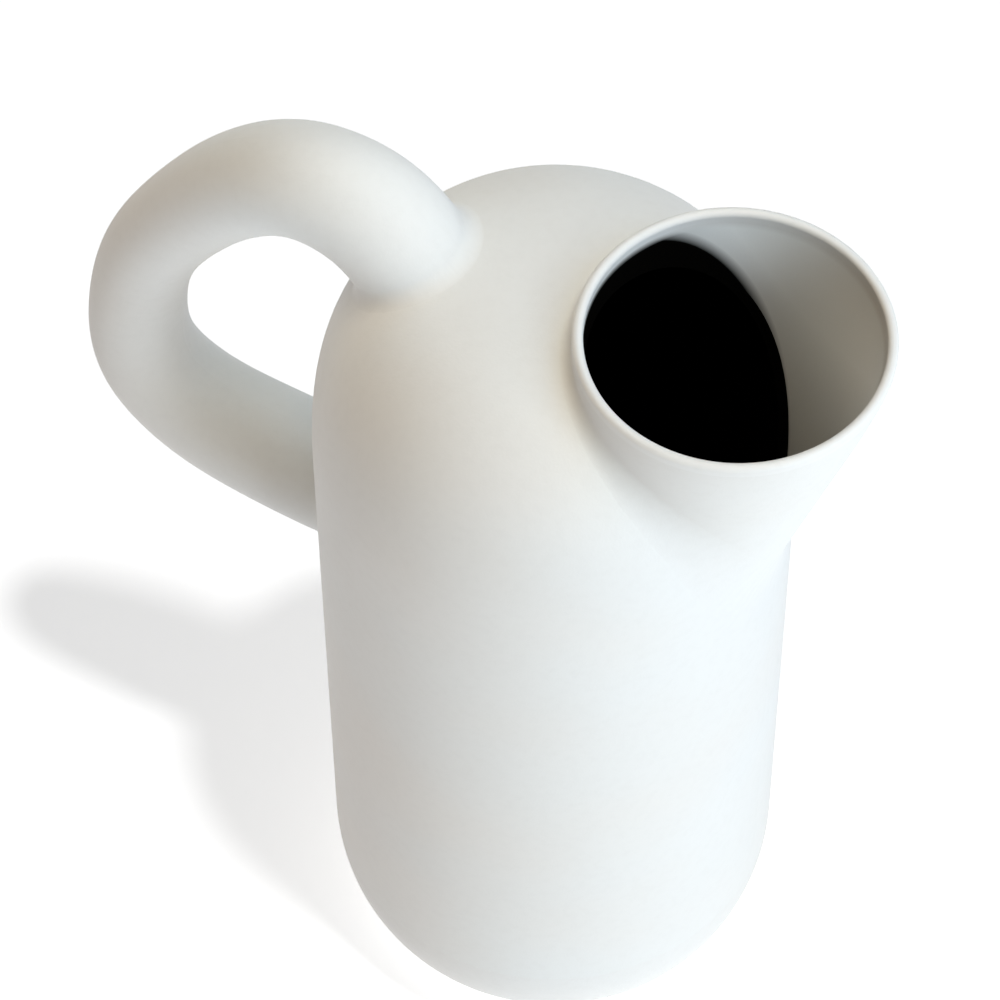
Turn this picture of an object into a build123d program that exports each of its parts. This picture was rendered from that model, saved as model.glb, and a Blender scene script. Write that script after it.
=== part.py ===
"""Ceramic pitcher: a closed cylinder with a domed top, a slanted spout and a looped tube handle.

The frame: origin at the centre of the foot, +Z up, spout towards +X, handle towards -X.
Lengths are in millimetres. Each piece of clay is its own solid, as it is before it is luted on.
"""

import os

from build123d import *

# ---- Driving dimensions -------------------------------------------------------------------
BODY_RADIUS = 53.0
FOOT_RADIUS = 30.5
SWELL_HEIGHT = 35.0        # the rounded bottom ends and the straight wall starts
SEAM_HEIGHT = 160.0        # the wall ends and the dome piece starts
SHOULDER_HEIGHT = 176.0    # the dome starts to curve in
DOME_TOP = 240.0
DOME_POWER = 3.1           # power of the superellipse that the dome follows; 2 is an ellipse
WALL = 4.5
FLOOR = 6.0

MOUTH_TOP = 246.0
LIP_HEIGHT = 2.6
LIP_ROUNDING = 1.15

HANDLE_WALL = 3.6
VENT_RADIUS = 2.0          # lets the air out of the hollow handle in the kiln
HANDLE_FILLET = 3.0
SEAM_GAP = 0.03            # keeps a seam piece just clear of the two pieces that it joins

# Horizontal sections of the spout, low to high: height, centre along X, outer radius, wall.
NECK_SECTIONS = (
    (168.0, 26.0, 25.5, 3.8),
    (184.0, 31.0, 25.8, 3.8),
    (199.0, 34.4, 26.8, 3.8),
    (212.0, 36.4, 28.6, 3.6),
    (226.0, 38.1, 31.0, 3.2),
    (237.0, 39.3, 32.8, 2.7),
    (MOUTH_TOP, 40.4, 33.7, 2.4),
)

# Centre line of the handle in the XZ plane, from inside the dome to inside the wall.
HANDLE_LINE = (
    (-21.8, 217.2),
    (-32.5, 231.6),
    (-43.0, 243.0),
    (-56.5, 245.6),
    (-70.8, 238.2),
    (-85.5, 221.3),
    (-97.0, 201.4),
    (-102.7, 177.0),
    (-100.3, 157.3),
    (-88.8, 146.0),
    (-70.0, 140.2),
    (-52.5, 137.0),
    (-42.0, 135.2),
)
# Radius of the handle tube at shares of its length: full at both roots, slim in the outer bend.
HANDLE_RADII = ((0.0, 12.6), (0.23, 12.6), (0.52, 10.6), (0.79, 13.0), (1.0, 12.9))
VENT_CENTRE = (-30.0, 229.0)   # X and Z of the point where the centre line meets the dome
VENT_REACH = 20.0              # how far the vent's drill goes above and below that point
ABOVE_ALL = 300.0
SLAB_WIDTH = 400.0


# ---- Shapes that the pieces are cut from --------------------------------------------------
def superellipse_points(radius, rise, start_height, count=9):
    """Points from the shoulder to the top of a dome, without its first and last point."""
    points = []
    for step in range(1, count):
        across = Vector(1, 0).rotate(Axis.Z, 90.0 * step / count)
        r = radius * across.X ** (2 / DOME_POWER)
        z = start_height + rise * across.Y ** (2 / DOME_POWER)
        points.append((r, z))
    return points


def vessel(inset, floor):
    """Solid of revolution of the vessel, moved in by inset, with its bottom at height floor."""
    radius = BODY_RADIUS - inset
    foot = FOOT_RADIUS - inset
    top = DOME_TOP - inset
    shoulder = (radius, SHOULDER_HEIGHT)
    with BuildPart() as solid:
        with BuildSketch(Plane.YZ):
            with BuildLine():
                Line((0, floor), (foot, floor))
                EllipticalCenterArc((foot, SWELL_HEIGHT), radius - foot, SWELL_HEIGHT - floor,
                                    start_angle=270, arc_size=90)
                Line((radius, SWELL_HEIGHT), shoulder)
                Spline(shoulder, *superellipse_points(radius, top - SHOULDER_HEIGHT, SHOULDER_HEIGHT),
                       (0, top), tangents=((0, 1), (-1, 0)))
                Line((0, top), (0, floor))
            make_face()
        revolve(axis=Axis.Z)
    return solid.part


def neck(inside):
    """Solid of the spout through its sections: its outside, or the space inside its wall."""
    with BuildPart() as solid:
        for height, centre, radius, wall in NECK_SECTIONS:
            with BuildSketch(Plane.XY.offset(height)):
                with Locations((centre, 0)):
                    Circle(radius - wall if inside else radius)
        loft()
    return solid.part


def handle_bar(inset):
    """Solid of the handle along its centre line, with its radius less inset."""
    with BuildPart() as solid:
        with BuildLine(Plane.XZ) as line:
            Spline(*HANDLE_LINE)
        path = line.line
        for share, radius in HANDLE_RADII:
            with BuildSketch(Plane(path @ share, z_dir=path % share)):
                Circle(radius - inset)
        sweep(path=path, multisection=True)
    return solid.part


def slab(low, high):
    """Slab wider than the pitcher between two heights."""
    with BuildPart() as solid:
        with Locations((0, 0, (low + high) / 2)):
            Box(SLAB_WIDTH, SLAB_WIDTH, high - low)
    return solid.part


outer = vessel(0, 0)
cavity = vessel(WALL, FLOOR)
neck_outer = neck(inside=False)
neck_inner = neck(inside=True)
bar_outer = handle_bar(0)
bar_inner = handle_bar(HANDLE_WALL)

# ---- The vessel: base, wall and dome ------------------------------------------------------
with BuildPart() as base:
    add(outer)
    add(cavity, mode=Mode.SUBTRACT)
    add(slab(0, SWELL_HEIGHT), mode=Mode.INTERSECT)
base.part.label = "base"

with BuildPart() as body_wall:
    with BuildSketch(Plane.XY.offset(SWELL_HEIGHT)):
        Circle(BODY_RADIUS)
        Circle(BODY_RADIUS - WALL, mode=Mode.SUBTRACT)
    extrude(amount=SEAM_HEIGHT - SWELL_HEIGHT)
body_wall.part.label = "body_wall"

with BuildPart() as dome:
    add(outer)
    add(cavity, mode=Mode.SUBTRACT)
    add(neck_outer, mode=Mode.SUBTRACT)
    add(slab(SEAM_HEIGHT, ABOVE_ALL), mode=Mode.INTERSECT)
    with BuildSketch(Plane.XY.offset(VENT_CENTRE[1])):
        with Locations((VENT_CENTRE[0], 0)):
            Circle(VENT_RADIUS)
    extrude(amount=VENT_REACH, both=True, mode=Mode.SUBTRACT)
dome.part.label = "dome"

# ---- The spout ----------------------------------------------------------------------------
with BuildPart() as spout_neck:
    add(neck_outer)
    add(neck_inner, mode=Mode.SUBTRACT)
    add(cavity, mode=Mode.SUBTRACT)
    add(slab(0, MOUTH_TOP - LIP_HEIGHT), mode=Mode.INTERSECT)
spout_neck.part.label = "spout_neck"

with BuildPart() as spout_lip:
    add(neck_outer)
    add(neck_inner, mode=Mode.SUBTRACT)
    add(slab(MOUTH_TOP - LIP_HEIGHT, ABOVE_ALL), mode=Mode.INTERSECT)
    fillet(spout_lip.faces().sort_by(Axis.Z)[-1].edges(), LIP_ROUNDING)
spout_lip.part.label = "spout_lip"

# ---- The handle ---------------------------------------------------------------------------
with BuildPart() as handle:
    add(bar_outer)
    add(bar_inner, mode=Mode.SUBTRACT)
    add(outer, mode=Mode.SUBTRACT)
handle.part.label = "handle"

with BuildPart() as handle_seams:
    add(outer)
    add(bar_outer)
    fillet(handle_seams.edges(Select.NEW), HANDLE_FILLET)
    add(handle_bar(-SEAM_GAP), mode=Mode.SUBTRACT)
    add(vessel(-SEAM_GAP, -SEAM_GAP), mode=Mode.SUBTRACT)

with BuildPart() as handle_seam_upper:
    add(handle_seams.part)
    add(slab(SHOULDER_HEIGHT, ABOVE_ALL), mode=Mode.INTERSECT)
handle_seam_upper.part.label = "handle_seam_upper"

with BuildPart() as handle_seam_lower:
    add(handle_seams.part)
    add(slab(0, SHOULDER_HEIGHT), mode=Mode.INTERSECT)
handle_seam_lower.part.label = "handle_seam_lower"

# ---- Export -------------------------------------------------------------------------------
pieces = (base, body_wall, dome, spout_neck, spout_lip,
          handle, handle_seam_upper, handle_seam_lower)
os.makedirs("parts", exist_ok=True)
for piece in pieces:
    export_step(piece.part, f"parts/{piece.part.label}.step")
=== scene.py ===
"""Ceramic pitcher: matte off-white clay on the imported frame, in soft studio light from the right.

Everything is in metres, in the frame of the CAD model: +Z up, spout towards +X, handle towards -X.
"""

import math

import bmesh
import bpy
from mathutils import Matrix, Vector
from mathutils.bvhtree import BVHTree


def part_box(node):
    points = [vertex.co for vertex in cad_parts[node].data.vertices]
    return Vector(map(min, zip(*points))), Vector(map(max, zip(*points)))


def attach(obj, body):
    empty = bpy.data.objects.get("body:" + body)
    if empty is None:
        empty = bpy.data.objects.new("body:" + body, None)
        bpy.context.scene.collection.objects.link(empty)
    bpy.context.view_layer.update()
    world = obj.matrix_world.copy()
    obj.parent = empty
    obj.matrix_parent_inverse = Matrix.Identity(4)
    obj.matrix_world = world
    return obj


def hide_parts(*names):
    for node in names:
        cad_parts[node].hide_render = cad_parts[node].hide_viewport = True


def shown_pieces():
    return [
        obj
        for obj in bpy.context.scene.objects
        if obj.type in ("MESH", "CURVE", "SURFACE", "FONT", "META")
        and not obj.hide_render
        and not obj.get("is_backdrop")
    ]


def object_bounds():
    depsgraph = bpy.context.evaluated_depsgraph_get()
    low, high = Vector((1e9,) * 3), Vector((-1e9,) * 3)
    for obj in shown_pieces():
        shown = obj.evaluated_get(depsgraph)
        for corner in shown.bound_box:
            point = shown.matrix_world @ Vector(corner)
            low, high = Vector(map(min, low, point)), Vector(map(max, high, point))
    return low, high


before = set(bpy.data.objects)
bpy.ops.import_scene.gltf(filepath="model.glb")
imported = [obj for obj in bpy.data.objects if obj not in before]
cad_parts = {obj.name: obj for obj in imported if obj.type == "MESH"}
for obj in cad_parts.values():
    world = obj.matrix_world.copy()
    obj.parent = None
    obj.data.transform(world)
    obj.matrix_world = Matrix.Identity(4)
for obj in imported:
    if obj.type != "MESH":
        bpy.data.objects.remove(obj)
cad_low, cad_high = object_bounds()

# ---- Camera -------------------------------------------------------------------------------
VIEW_AZIMUTH = 25.205           # degrees from -Y towards +X
VIEW_ELEVATION = 56.069
VIEW_ROLL = -0.605
VIEW_TARGET = Vector((-0.01105, -0.00520, 0.16093))
VIEW_DISTANCE = 1.0399
LENS_MM = 168.56
SENSOR_MM = 36.0

# ---- Lights: name, azimuth, elevation, side of the square, watts, colour --------------------
LIGHT_DISTANCE = 1.3
SOFT_BOXES = (
    ("window_low", 64, 15, 0.8, 10.0, (0.86, 0.96, 1.0)),
    ("window_high", 90, 45, 0.8, 5.2, (0.60, 0.75, 1.0)),
    ("overhead", 0, 90, 0.9, 10.0, (1.0, 0.90, 0.73)),
    ("back_fill", 180, 45, 0.8, 3.9, (0.56, 0.80, 1.0)),
    ("warm_bounce", -70, 20, 0.8, 0.9, (1.0, 0.62, 0.34)),
)
SUN_AZIMUTH = 73.5              # the sun lights only the floor, where the vessel casts its shadow
SUN_ELEVATION = 74.5
SUN_SOFTNESS = 4.0              # degrees across
SUN_STRENGTH = 1.15
FLOOR_GLOW = 0.71               # the shadow shows this and the light that the vessel throws on it
FLOOR_WHITE = 0.9
FLOOR_SIDE = 8.0
WORLD_COLOUR = (1.0, 1.0, 1.0, 1.0)     # only the camera sees it, so it lights nothing

# ---- The vessel's profile -----------------------------------------------------------------
BODY_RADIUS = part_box("body_wall")[1].x
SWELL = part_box("base")[1].z     # height where the rounded foot becomes the straight wall
DOME_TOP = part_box("dome")[1].z
SHOULDER = 0.176                # height where the straight wall becomes the dome
FOOT_RADIUS = 0.0305
DOME_POWER = 3.1                # of the superellipse that the dome follows; 2 is an ellipse
WALL = 0.0045

# ---- The spout: values at the lower and the upper of two heights ------------------------------
NECK_HEIGHTS = (0.184, 0.199)
NECK_CENTRE = (0.0310, 0.0344)
SPOUT_HEIGHTS = (0.199, 0.246)
SPOUT_SHIFT = (0.0, 0.0060)     # how much further forward the spout's centre lies
SPOUT_MID_WALL = (0.0249, 0.0325)
UNDER_LIP = (0.2415, 0.2435)    # the painted light and painted shade of the spout's inside fade out between these

# ---- Painted shade inside the vessel and the spout, painted light on the spout's inside -----
# near black: painted shade where the vessel's inside lies in shade
PAINTED_INNER_SHADE = (0.0020, 0.0018, 0.0015, 1.0)
# brown: painted shade down the spout's throat
PAINTED_THROAT_SHADE = (0.085, 0.070, 0.050, 1.0)
PAINTED_SPOUT_LIGHT = (0.93, 0.94, 0.92, 1.0)   # painted light: the rest of the spout's inside, coloured lighter than the clay
PAINTED_SHADE_RADIUS = 0.0500           # the painted shade reaches up the spout to this rounded edge
PAINTED_SHADE_TOP = 0.2468
PAINTED_SHADE_POWER = 2.7
PAINTED_SHADE_FADE = (0.96, 1.08)       # edge values where the painted shade starts to fade, and where it ends
THROAT_SHADE_EDGE = (1.0, 3.6)          # the same for the painted shade down the spout's throat, with the tilt below added
THROAT_SHADE_TILT = 80.0                # the painted throat shade is thinner towards the far side of the spout

# ---- The clay ------------------------------------------------------------------------------
CLOUD_SCALE = 13                # patches of warmer and cooler tint
DUST_SCALE = 420                # fine dark specks
DUST_RANGE = (0.45, 0.75)
DUST_SHARE = 0.10
DUST_TONE = 0.82
HAND_SCALE = 26                 # unevenness left by the hand
HAND_HEIGHT = 0.0003
GRAIN_SCALE = 1500
ROUGH_SCALE = 55
ROUGH_SPREAD = 0.06
CLAY_IOR = 1.48
CLAY_SPECULAR = 0.4

# ---- The slip bands, where the spout and the handle join the body ------------------------------
SEAM_STEPS = 256
SEAM_ACROSS = 12
SEAM_HALVINGS = 30
SEAM_SINK = 0.00002             # a band's edges end this far under the skins that they meet
SEAM_DEPTH = 0.0006
SEAM_PULL = 0.6                 # how far each edge leans towards the corner; more is tighter
SEAM_EASE = 1.5                 # how late a band widens towards the front
UP = Vector((0, 0, 1))
FORWARD = Vector((1, 0, 0))
# Name, tube, a point on the tube's axis near its root, and the axis; how far each way along the axis
# and how far out from it the search starts; how far the band reaches over each skin at its back and
# at its front; and the CAD node that it stands for.
SLIPS = (
    ("spout_slip", "spout_neck", (0.0375, 0, 0.208), (0, 0, 1),
     0.040, BODY_RADIUS, 0.0026, 0.013, None),
    ("handle_slip_upper", "handle", (-0.0303, 0, 0.2287), (-0.596, 0, 0.803),
     0.020, 0.020, 0.0032, 0.0032, "handle_seam_upper"),
    ("handle_slip_lower", "handle", (-0.053, 0, 0.1370), (-0.984, 0, 0.176),
     0.012, 0.020, 0.0032, 0.0032, "handle_seam_lower"),
)


# ---- Materials ------------------------------------------------------------------------------
class Nodes:
    """A short way to add and join the nodes of one material."""

    def __init__(self, name):
        self.material = bpy.data.materials.new(name)
        self.material.use_nodes = True
        self.tree = self.material.node_tree
        self.tree.nodes.clear()
        self.output = self.add("ShaderNodeOutputMaterial")
        self.place = self.add("ShaderNodeTexCoord").outputs["Object"]

    def add(self, kind, links=None, **settings):
        """Adds a node; links maps a socket to an output or a value, settings are its properties."""
        node = self.tree.nodes.new(kind)
        for key, value in settings.items():
            setattr(node, key, value)
        for socket, value in (links or {}).items():
            if isinstance(value, bpy.types.NodeSocket):
                self.tree.links.new(value, node.inputs[socket])
            else:
                node.inputs[socket].default_value = value
        return node

    def math(self, operation, first, second=0.0):
        return self.add("ShaderNodeMath", {0: first, 1: second}, operation=operation).outputs[0]

    def along(self, axis):
        """The coordinate along X, Y or Z."""
        return self.add("ShaderNodeSeparateXYZ", {0: self.place}).outputs[axis]

    def out(self):
        """The distance from the vessel's axis."""
        flat = self.add("ShaderNodeVectorMath", {0: self.place, 1: (1, 1, 0)}, operation="MULTIPLY")
        length = self.add("ShaderNodeVectorMath", {0: flat.outputs[0]}, operation="LENGTH")
        return length.outputs["Value"]

    def noise(self, scale, detail=3.0, roughness=0.5):
        links = {"Vector": self.place, "Scale": scale, "Detail": detail, "Roughness": roughness}
        return self.add("ShaderNodeTexNoise", links).outputs["Fac"]

    def spread(self, value, low, high, start=0.3, stop=0.7):
        """Maps value from start..stop to low..high, and holds it at both ends."""
        links = {"Value": value, "From Min": start, "From Max": stop, "To Min": low, "To Max": high}
        return self.add("ShaderNodeMapRange", links).outputs["Result"]

    def mix(self, share, first, second):
        """A colour between first and second."""
        links = {0: share, 6: first, 7: second}
        return self.add("ShaderNodeMix", links, data_type="RGBA").outputs[2]

    def bump(self, height, distance, under=None):
        links = {"Height": height, "Distance": distance, "Strength": 1.0}
        if under is not None:
            links["Normal"] = under
        return self.add("ShaderNodeBump", links).outputs["Normal"]


def hollow(nodes):
    """1 inside the middle of the vessel's wall and 0 outside it, from the profile of the wall."""
    out, up = nodes.out(), nodes.along("Z")
    radius = BODY_RADIUS - WALL / 2
    rise = nodes.spread(up, 0, 1, SHOULDER, DOME_TOP - WALL / 2)
    across = nodes.math("POWER", nodes.math("DIVIDE", out, radius), DOME_POWER)
    dome_sum = nodes.math("ADD", across, nodes.math("POWER", rise, DOME_POWER))
    drop = nodes.spread(up, 1, 0, WALL / 2, SWELL)
    bend = nodes.spread(out, 0, 1, FOOT_RADIUS, radius)
    foot_sum = nodes.math("ADD", nodes.math("POWER", bend, 2), nodes.math("POWER", drop, 2))
    widest = nodes.math("MAXIMUM", dome_sum, foot_sum)
    return nodes.math("LESS_THAN", widest, 1.0)


def spout_inside(nodes):
    """1 inside the middle of the spout's wall, from its root to under its lip, and 0 elsewhere."""
    up = nodes.along("Z")
    centre = nodes.math("ADD", nodes.spread(up, *NECK_CENTRE, *NECK_HEIGHTS),
                        nodes.spread(up, *SPOUT_SHIFT, *SPOUT_HEIGHTS))
    forward = nodes.math("POWER", nodes.math("SUBTRACT", nodes.along("X"), centre), 2)
    away = nodes.math("ADD", forward, nodes.math("POWER", nodes.along("Y"), 2))
    mid_wall = nodes.spread(up, *SPOUT_MID_WALL, *SPOUT_HEIGHTS)
    near = nodes.math("LESS_THAN", nodes.math("SQRT", away), mid_wall)
    below_lip = nodes.spread(up, 1, 0, *UNDER_LIP)
    return nodes.math("MULTIPLY", nodes.math("MULTIPLY", near, below_lip),
                      nodes.math("GREATER_THAN", up, NECK_HEIGHTS[0]))


def painted_shade_edge(nodes):
    """About 1 at the upper edge of the painted shade in the spout, and more towards the mouth."""
    across = nodes.math("POWER", nodes.math("DIVIDE", nodes.out(), PAINTED_SHADE_RADIUS), PAINTED_SHADE_POWER)
    rise = nodes.spread(nodes.along("Z"), 0, 1, SHOULDER, PAINTED_SHADE_TOP)
    return nodes.math("ADD", across, nodes.math("POWER", rise, PAINTED_SHADE_POWER))


def clay(name, warm, cool, rough, grain):
    """Fired clay: cloudy tint, fine grain, a slightly uneven skin, painted shade on the inside and
    painted light on the rest of the spout's inside.
    """
    nodes = Nodes(name)
    cloud = nodes.spread(nodes.noise(CLOUD_SCALE, detail=2), 0, 1)
    tint = nodes.mix(cloud, warm, cool)
    dust = nodes.spread(nodes.noise(DUST_SCALE, detail=4), 0, DUST_SHARE, *DUST_RANGE)
    tint = nodes.mix(dust, tint, tuple(DUST_TONE * c for c in warm[:3]) + (1.0,))
    within, edge = spout_inside(nodes), painted_shade_edge(nodes)
    # painted light: the spout's inside is coloured lighter than the clay
    tint = nodes.mix(within, tint, PAINTED_SPOUT_LIGHT)
    # painted shade: brown, darkening the spout's inside towards its throat
    throat_shade_level = nodes.math("ADD", edge, nodes.math("MULTIPLY", nodes.along("Y"), THROAT_SHADE_TILT))
    throat_shade = nodes.math("MULTIPLY", within, nodes.spread(throat_shade_level, 1, 0, *THROAT_SHADE_EDGE))
    tint = nodes.mix(throat_shade, tint, PAINTED_THROAT_SHADE)
    # painted shade: near black with no gloss inside the vessel's wall and deep in the spout
    spout_painted_shade = nodes.math("MULTIPLY", within, nodes.spread(edge, 1, 0, *PAINTED_SHADE_FADE))
    painted_shade = nodes.math("MAXIMUM", hollow(nodes), spout_painted_shade)
    hand = nodes.bump(nodes.noise(HAND_SCALE, detail=1), HAND_HEIGHT)
    skin = nodes.bump(nodes.noise(GRAIN_SCALE, detail=3, roughness=0.6), grain, hand)
    shader = nodes.add("ShaderNodeBsdfPrincipled", {
        "Base Color": nodes.mix(painted_shade, tint, PAINTED_INNER_SHADE),
        "Roughness": nodes.spread(nodes.noise(ROUGH_SCALE), rough - ROUGH_SPREAD, rough + ROUGH_SPREAD),
        "Normal": skin,
        "IOR": CLAY_IOR,
        "Specular IOR Level": nodes.spread(painted_shade, CLAY_SPECULAR, 0.0, 0.0, 1.0),
    })
    nodes.tree.links.new(shader.outputs["BSDF"], nodes.output.inputs["Surface"])
    return nodes.material


bisque = clay("bisque", (0.80, 0.775, 0.74, 1.0), (0.80, 0.81, 0.80, 1.0), 0.62, 0.00003)
lip_clay = clay("lip_clay", (0.82, 0.80, 0.77, 1.0), (0.82, 0.83, 0.82, 1.0), 0.50, 0.00002)
foot_clay = clay("foot_clay", (0.79, 0.765, 0.73, 1.0), (0.80, 0.80, 0.79, 1.0), 0.68, 0.00004)
CLAYS = {"spout_lip": lip_clay, "base": foot_clay}

for name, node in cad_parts.items():
    node.data.materials.clear()
    node.data.materials.append(CLAYS.get(name, bisque))


# ---- The slip bands --------------------------------------------------------------------------
def skins(*names):
    """A search tree over the faces of some CAD nodes."""
    points, faces = [], []
    for name in names:
        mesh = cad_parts[name].data
        start = len(points)
        points += [v.co.copy() for v in mesh.vertices]
        faces += [[start + i for i in p.vertices] for p in mesh.polygons]
    return BVHTree.FromPolygons(points, faces)


def outside_vessel(point):
    """Over 0 outside the vessel's outer skin, anywhere above its foot."""
    rise = max(0.0, (point.z - SHOULDER) / (DOME_TOP - SHOULDER))
    out = math.hypot(point.x, point.y) / BODY_RADIUS
    return out ** DOME_POWER + rise ** DOME_POWER - 1


def vessel_normal(point):
    """The vessel's outward normal at a point of its outer skin above its foot."""
    side = Vector((point.x, point.y, 0)) * math.hypot(point.x, point.y) ** (DOME_POWER - 2)
    rise = max(0.0, point.z - SHOULDER) ** (DOME_POWER - 1)
    top = UP * rise / (DOME_TOP - SHOULDER) ** DOME_POWER
    return (side / BODY_RADIUS ** DOME_POWER + top).normalized()


def seam_point(tube, middle, axis, way, search, start_out):
    """Where a tube's skin, seen from the side along way, meets the vessel; and the tube's normal."""
    low, high = -search, search
    for _ in range(SEAM_HALVINGS):
        along = (low + high) / 2
        start = middle + axis * along + way * start_out
        hit, normal = tube.ray_cast(start, -way)[:2]
        if hit is None or (hit - start).length > start_out or outside_vessel(hit) < 0:
            low = along
        else:
            high = along
            found = hit, normal
    return found


def edge_of(skin, point, way, reach):
    """A band's sunken edge on a skin, reach away from the corner, and where its curve leans to."""
    end, normal = skin.find_nearest(point + way * reach)[:2]
    pull = (point - end) - normal * (point - end).dot(normal)
    end = end - normal * SEAM_SINK
    return end, end + pull * SEAM_PULL


def band_row(body, tube, point, tube_normal, along, reach):
    """One cross-section of a band: a curve from body to tube, then a point under the corner."""
    body_normal = vessel_normal(point)
    down, climb = along.cross(body_normal), along.cross(tube_normal)
    down *= math.copysign(1, down.dot(tube_normal))
    climb *= math.copysign(1, climb.dot(body_normal))
    first, near = edge_of(body, point, down, reach)
    last, far = edge_of(tube, point, climb, reach)
    row = []
    for j in range(SEAM_ACROSS + 1):
        t = j / SEAM_ACROSS
        s = 1 - t
        row.append(s**3 * first + 3 * s * s * t * near + 3 * s * t * t * far + t**3 * last)
    row.append(point - (body_normal + tube_normal).normalized() * SEAM_DEPTH)
    return row


def closed_band(name, rows):
    """A ring-shaped mesh through the rows, smooth but for the two edges that sink into the skins."""
    wide = len(rows[0])
    faces = [(i * wide + j, i * wide + (j + 1) % wide,
              (i + 1) % SEAM_STEPS * wide + (j + 1) % wide, (i + 1) % SEAM_STEPS * wide + j)
             for i in range(SEAM_STEPS) for j in range(wide)]
    mesh = bpy.data.meshes.new(name)
    mesh.from_pydata([p for row in rows for p in row], [], faces)
    turned = bmesh.new()
    turned.from_mesh(mesh)
    bmesh.ops.recalc_face_normals(turned, faces=turned.faces)
    turned.to_mesh(mesh)
    turned.free()
    mesh.polygons.foreach_set("use_smooth", [True] * len(mesh.polygons))
    for edge in mesh.edges:
        a, b = edge.vertices
        edge.use_edge_sharp = a % wide == b % wide and a % wide in (0, SEAM_ACROSS)
    return mesh


def slip(name, tube_name, middle, axis, search, start_out, back_reach, front_reach, replaced):
    """The smoothed clay where a tube joins the vessel."""
    tube, body = skins(tube_name), skins("dome", "body_wall")
    middle, axis = Vector(middle), Vector(axis)
    side = axis.cross(Vector((0, 1, 0))).normalized()
    cross = axis.cross(side)
    turns = (math.tau * i / SEAM_STEPS for i in range(SEAM_STEPS))
    ways = [side * math.cos(a) + cross * math.sin(a) for a in turns]
    loop = [seam_point(tube, middle, axis, way, search, start_out) for way in ways]
    rows = []
    for i, (way, (point, normal)) in enumerate(zip(ways, loop)):
        along = (loop[(i + 1) % SEAM_STEPS][0] - loop[i - 1][0]).normalized()
        front = ((1 + way.dot(FORWARD)) / 2) ** SEAM_EASE
        reach = back_reach + (front_reach - back_reach) * front
        rows.append(band_row(body, tube, point, normal, along, reach))
    mesh = closed_band(name, rows)
    mesh.materials.append(bisque)
    piece = bpy.data.objects.new(name, mesh)
    bpy.context.scene.collection.objects.link(piece)
    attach(piece, "root")
    if replaced:
        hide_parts(replaced)


for plan in SLIPS:
    slip(*plan)


# ---- Floor, light and camera --------------------------------------------------------------
def direction(azimuth, elevation):
    """Unit vector from the object towards a light or a camera."""
    a, e = math.radians(azimuth), math.radians(elevation)
    return Vector((math.sin(a) * math.cos(e), -math.cos(a) * math.cos(e), math.sin(e)))


def place(thing, azimuth, elevation, distance, target, roll=0.0):
    """Puts an object at a distance from target and turns it to look there."""
    back = direction(azimuth, elevation)
    turn = (-back).to_track_quat("-Z", "Y").to_matrix().to_4x4()
    spin = Matrix.Rotation(math.radians(roll), 4, "Z")
    thing.matrix_world = Matrix.Translation(target + back * distance) @ turn @ spin
    bpy.context.scene.collection.objects.link(thing)


def floor():
    """A plain white floor that catches one soft shadow."""
    half = FLOOR_SIDE / 2
    mesh = bpy.data.meshes.new("floor")
    corners = [(-half, -half, 0), (half, -half, 0), (half, half, 0), (-half, half, 0)]
    mesh.from_pydata(corners, [], [(0, 1, 2, 3)])
    plane = bpy.data.objects.new("floor", mesh)
    bpy.context.scene.collection.objects.link(plane)
    nodes = Nodes("floor_white")
    shader = nodes.add("ShaderNodeBsdfPrincipled", {
        "Base Color": (FLOOR_WHITE, FLOOR_WHITE, FLOOR_WHITE, 1.0),
        "Roughness": 1.0,
        "Specular IOR Level": 0.0,
        "Emission Color": (1.0, 1.0, 1.0, 1.0),
        "Emission Strength": FLOOR_GLOW,
    })
    nodes.tree.links.new(shader.outputs["BSDF"], nodes.output.inputs["Surface"])
    mesh.materials.append(nodes.material)
    plane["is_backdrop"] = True
    return plane


def lights_only(lamp, things):
    """Lets a lamp light these things and nothing else."""
    lit = bpy.data.collections.new(lamp.name + "_lights")
    for thing in things:
        lit.objects.link(thing)
    lamp.light_linking.receiver_collection = lit


ground = floor()
middle = (cad_low + cad_high) / 2
for label, azimuth, elevation, side, watts, colour in SOFT_BOXES:
    light = bpy.data.lights.new(label, "AREA")
    light.size, light.energy, light.color = side, watts, colour
    lamp = bpy.data.objects.new(label, light)
    place(lamp, azimuth, elevation, LIGHT_DISTANCE, middle)
    lights_only(lamp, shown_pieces())

light = bpy.data.lights.new("sun", "SUN")
light.angle, light.energy = math.radians(SUN_SOFTNESS), SUN_STRENGTH
sun = bpy.data.objects.new("sun", light)
place(sun, SUN_AZIMUTH, SUN_ELEVATION, LIGHT_DISTANCE, middle)
lights_only(sun, [ground])

world = bpy.data.worlds.new("studio")
world.use_nodes = True
world.node_tree.nodes["Background"].inputs["Color"].default_value = WORLD_COLOUR
bpy.context.scene.world = world
for ray in ("diffuse", "glossy", "transmission", "scatter"):
    setattr(world.cycles_visibility, ray, False)
bpy.context.scene.view_settings.view_transform = "Standard"

camera = bpy.data.objects.new("camera", bpy.data.cameras.new("camera"))
camera.data.sensor_width, camera.data.lens = SENSOR_MM, LENS_MM
place(camera, VIEW_AZIMUTH, VIEW_ELEVATION, VIEW_DISTANCE, VIEW_TARGET, VIEW_ROLL)
bpy.context.scene.camera = camera
